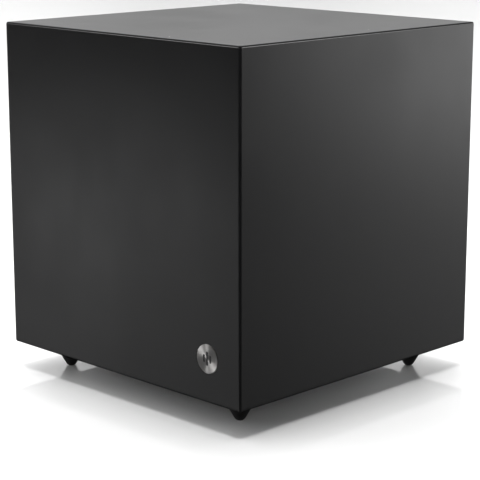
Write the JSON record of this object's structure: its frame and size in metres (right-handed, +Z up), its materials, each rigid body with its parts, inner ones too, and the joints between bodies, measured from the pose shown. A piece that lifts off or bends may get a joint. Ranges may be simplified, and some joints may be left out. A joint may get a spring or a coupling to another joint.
{
  "type": "powered subwoofer",
  "caption": "Cube-shaped powered subwoofer on conical feet, with a round badge, a down-firing driver, a rear reflex port and a rear amplifier plate.",
  "frame": {"origin": "on the floor, under the middle of the whole object", "axes": "+Z up; the plain front with the badge faces -Y and the controls face +Y; +X is to the right of someone facing the front"},
  "size_m": [0.29, 0.3043, 0.3125],
  "materials": {
    "cabinet_lacquer": "satin",
    "fibreboard": "matte",
    "wadding": "matte",
    "badge_metal": "satin",
    "dark_enamel": "gloss",
    "foot_rubber": "matte",
    "zinc_steel": "satin",
    "insert_brass": "satin",
    "cast_frame": "satin",
    "gasket_foam": "matte",
    "surround_rubber": "satin",
    "cone_paper": "matte",
    "cap_paper": "satin",
    "former_foil": "satin",
    "copper_wire": "gloss",
    "spider_cloth": "matte",
    "motor_steel": "satin",
    "ferrite": "matte",
    "tag_brass": "satin",
    "tinsel_braid": "matte",
    "black_screw": "satin",
    "port_plastic": "satin",
    "plate_paint": "satin",
    "knob_plastic": "satin",
    "gilt_metal": "gloss",
    "input_plastic": "satin",
    "lamp_lens": "gloss",
    "inlet_plastic": "satin",
    "nickel_blade": "satin",
    "fuse_glass": "gloss",
    "rocker_plastic": "satin",
    "board_laminate": "satin",
    "core_steel": "satin",
    "can_sleeve": "gloss",
    "sink_aluminium": "satin",
    "lead_plastic": "satin"
  },
  "bodies": {
    "root": {"top_panel": "cabinet_lacquer", "bottom_panel": "cabinet_lacquer", "left_panel": "cabinet_lacquer", "right_panel": "cabinet_lacquer", "front_panel": "cabinet_lacquer", "rear_panel": "cabinet_lacquer", "window_brace": "fibreboard", "wadding_pads": "wadding", "badge_disc": "badge_metal", "badge_mark": "dark_enamel", "foot_front_left": "foot_rubber", "foot_front_right": "foot_rubber", "foot_rear_left": "foot_rubber", "foot_rear_right": "foot_rubber", "foot_studs": "zinc_steel", "foot_inserts": "insert_brass", "driver_basket": "cast_frame", "driver_gasket": "gasket_foam", "cone_surround": "surround_rubber", "spider": "spider_cloth", "top_plate": "motor_steel", "magnet_ring": "ferrite", "yoke_and_pole": "motor_steel", "driver_terminals": "tag_brass", "tinsel_leads": "tinsel_braid", "driver_screws": "black_screw", "port_mouth": "port_plastic", "port_tube": "port_plastic", "amp_plate": "plate_paint", "board_spacers": "zinc_steel", "amp_gasket": "gasket_foam", "amp_screws": "black_screw", "control_pots": "zinc_steel", "switch_bodies": "zinc_steel", "input_sleeves": "gilt_metal", "input_block": "input_plastic", "input_contacts": "gilt_metal", "status_lamp": "lamp_lens", "inlet_housing": "inlet_plastic", "inlet_pins": "nickel_blade", "rocker_frame": "inlet_plastic", "circuit_boards": "board_laminate", "power_transformer": "core_steel", "capacitors": "can_sleeve", "heat_sink": "sink_aluminium", "speaker_leads": "lead_plastic", "mains_leads": "lead_plastic"},
    "woofer_cone": {"driver_cone": "cone_paper", "dust_cap": "cap_paper", "coil_former": "former_foil", "coil_winding": "copper_wire"},
    "level_control": {"level_knob": "knob_plastic", "level_shaft": "zinc_steel"},
    "crossover_control": {"crossover_knob": "knob_plastic", "crossover_shaft": "zinc_steel"},
    "phase_switch": {"phase_slider": "knob_plastic"},
    "auto_switch": {"auto_slider": "knob_plastic"},
    "power_switch": {"power_rocker": "rocker_plastic"},
    "fuse_holder": {"fuse_drawer": "inlet_plastic", "fuse": "fuse_glass"}
  },
  "joints": [
    {"name": "woofer_stroke", "type": "slide", "parent": "root", "child": "woofer_cone", "axis": [0, 0, 1], "range_m": [-0.008, 0.008], "stiffness_N_per_m": 2000, "deforming": ["cone_surround", "spider", "tinsel_leads"]},
    {"name": "level_turn", "type": "hinge", "parent": "root", "child": "level_control", "pos_m": [0.052, 0.145, 0.176], "axis": [0, -1, 0], "range_deg": [-150, 150]},
    {"name": "crossover_turn", "type": "hinge", "parent": "root", "child": "crossover_control", "pos_m": [0.008, 0.145, 0.176], "axis": [0, -1, 0], "range_deg": [-150, 150]},
    {"name": "phase_slide", "type": "slide", "parent": "root", "child": "phase_switch", "axis": [1, 0, 0], "range_m": [0, 0.004]},
    {"name": "auto_slide", "type": "slide", "parent": "root", "child": "auto_switch", "axis": [1, 0, 0], "range_m": [0, 0.004]},
    {"name": "power_rock", "type": "hinge", "parent": "root", "child": "power_switch", "pos_m": [0.008, 0.135, 0.092], "axis": [1, 0, 0], "range_deg": [0, 20]},
    {"name": "fuse_slide", "type": "slide", "parent": "root", "child": "fuse_holder", "axis": [0, 1, 0], "range_m": [0, 0.014]}
  ]
}
